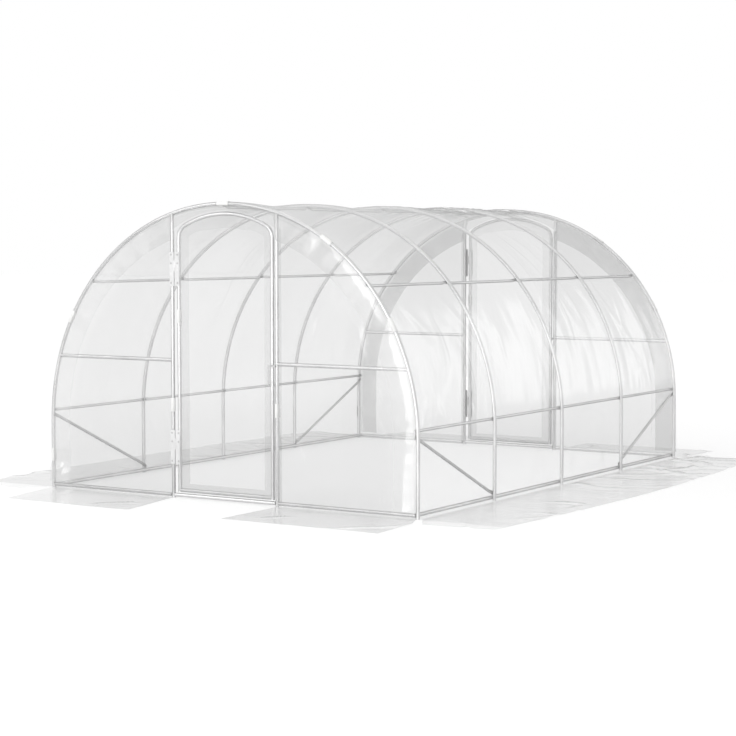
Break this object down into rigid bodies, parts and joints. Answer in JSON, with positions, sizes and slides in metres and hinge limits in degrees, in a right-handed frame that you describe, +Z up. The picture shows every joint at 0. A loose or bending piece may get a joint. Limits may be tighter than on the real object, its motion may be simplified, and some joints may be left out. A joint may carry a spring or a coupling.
{
  "type": "polytunnel greenhouse",
  "caption": "Walk-in polytunnel greenhouse: round steel hoops with purlins under a clear film cover with ground skirts, and a hinged arched film door in each end.",
  "frame": {"origin": "on the ground at the middle of the tunnel", "axes": "+X to the right seen from the front end, +Y along the tunnel to the back end, +Z up"},
  "size_m": [4.4036, 5.2686, 1.989],
  "materials": {
    "tube_steel": "galvanised steel tube, satin",
    "hinge_steel": "zinc-plated sheet steel",
    "clip": "white moulded plastic",
    "film": "clear polyethylene film, slightly hazy",
    "skirt_film": "clear polyethylene film lying on the ground"
  },
  "bodies": {
    "tunnel": {"hoop_1": "tube_steel", "hoop_2": "tube_steel", "hoop_3": "tube_steel", "hoop_4": "tube_steel", "hoop_5": "tube_steel", "ridge_purlin": "tube_steel", "left_upper_purlin": "tube_steel", "right_upper_purlin": "tube_steel", "left_side_purlin": "tube_steel", "right_side_purlin": "tube_steel", "left_ground_rail": "tube_steel", "right_ground_rail": "tube_steel", "left_braces": "tube_steel", "right_braces": "tube_steel", "front_posts": "tube_steel", "back_posts": "tube_steel", "front_end_rails": "tube_steel", "back_end_rails": "tube_steel", "front_ground_rails": "tube_steel", "back_ground_rails": "tube_steel", "front_post_hinges": "hinge_steel", "back_post_hinges": "hinge_steel", "front_film_clips": "clip", "back_film_clips": "clip", "left_wall_film": "film", "left_shoulder_film": "film", "left_roof_film": "film", "right_roof_film": "film", "right_shoulder_film": "film", "right_wall_film": "film", "front_end_film": "film", "back_end_film": "film", "left_skirt": "skirt_film", "right_skirt": "skirt_film", "front_skirts": "skirt_film", "back_skirts": "skirt_film"},
    "front_door": {"front_door_frame": "tube_steel", "front_door_film": "film", "front_door_hinges": "hinge_steel", "front_door_latch": "hinge_steel", "front_door_clip": "clip"},
    "back_door": {"back_door_frame": "tube_steel", "back_door_film": "film", "back_door_hinges": "hinge_steel", "back_door_latch": "hinge_steel", "back_door_clip": "clip"}
  },
  "joints": [
    {"name": "front_door_hinge", "type": "hinge", "parent": "tunnel", "child": "front_door", "pos_m": [-0.398, -2.01585, 1], "axis": [0, 0, -1], "range_deg": [0, 120]},
    {"name": "back_door_hinge", "type": "hinge", "parent": "tunnel", "child": "back_door", "pos_m": [-0.398, 2.01585, 1], "axis": [0, 0, 1], "range_deg": [0, 120]}
  ]
}
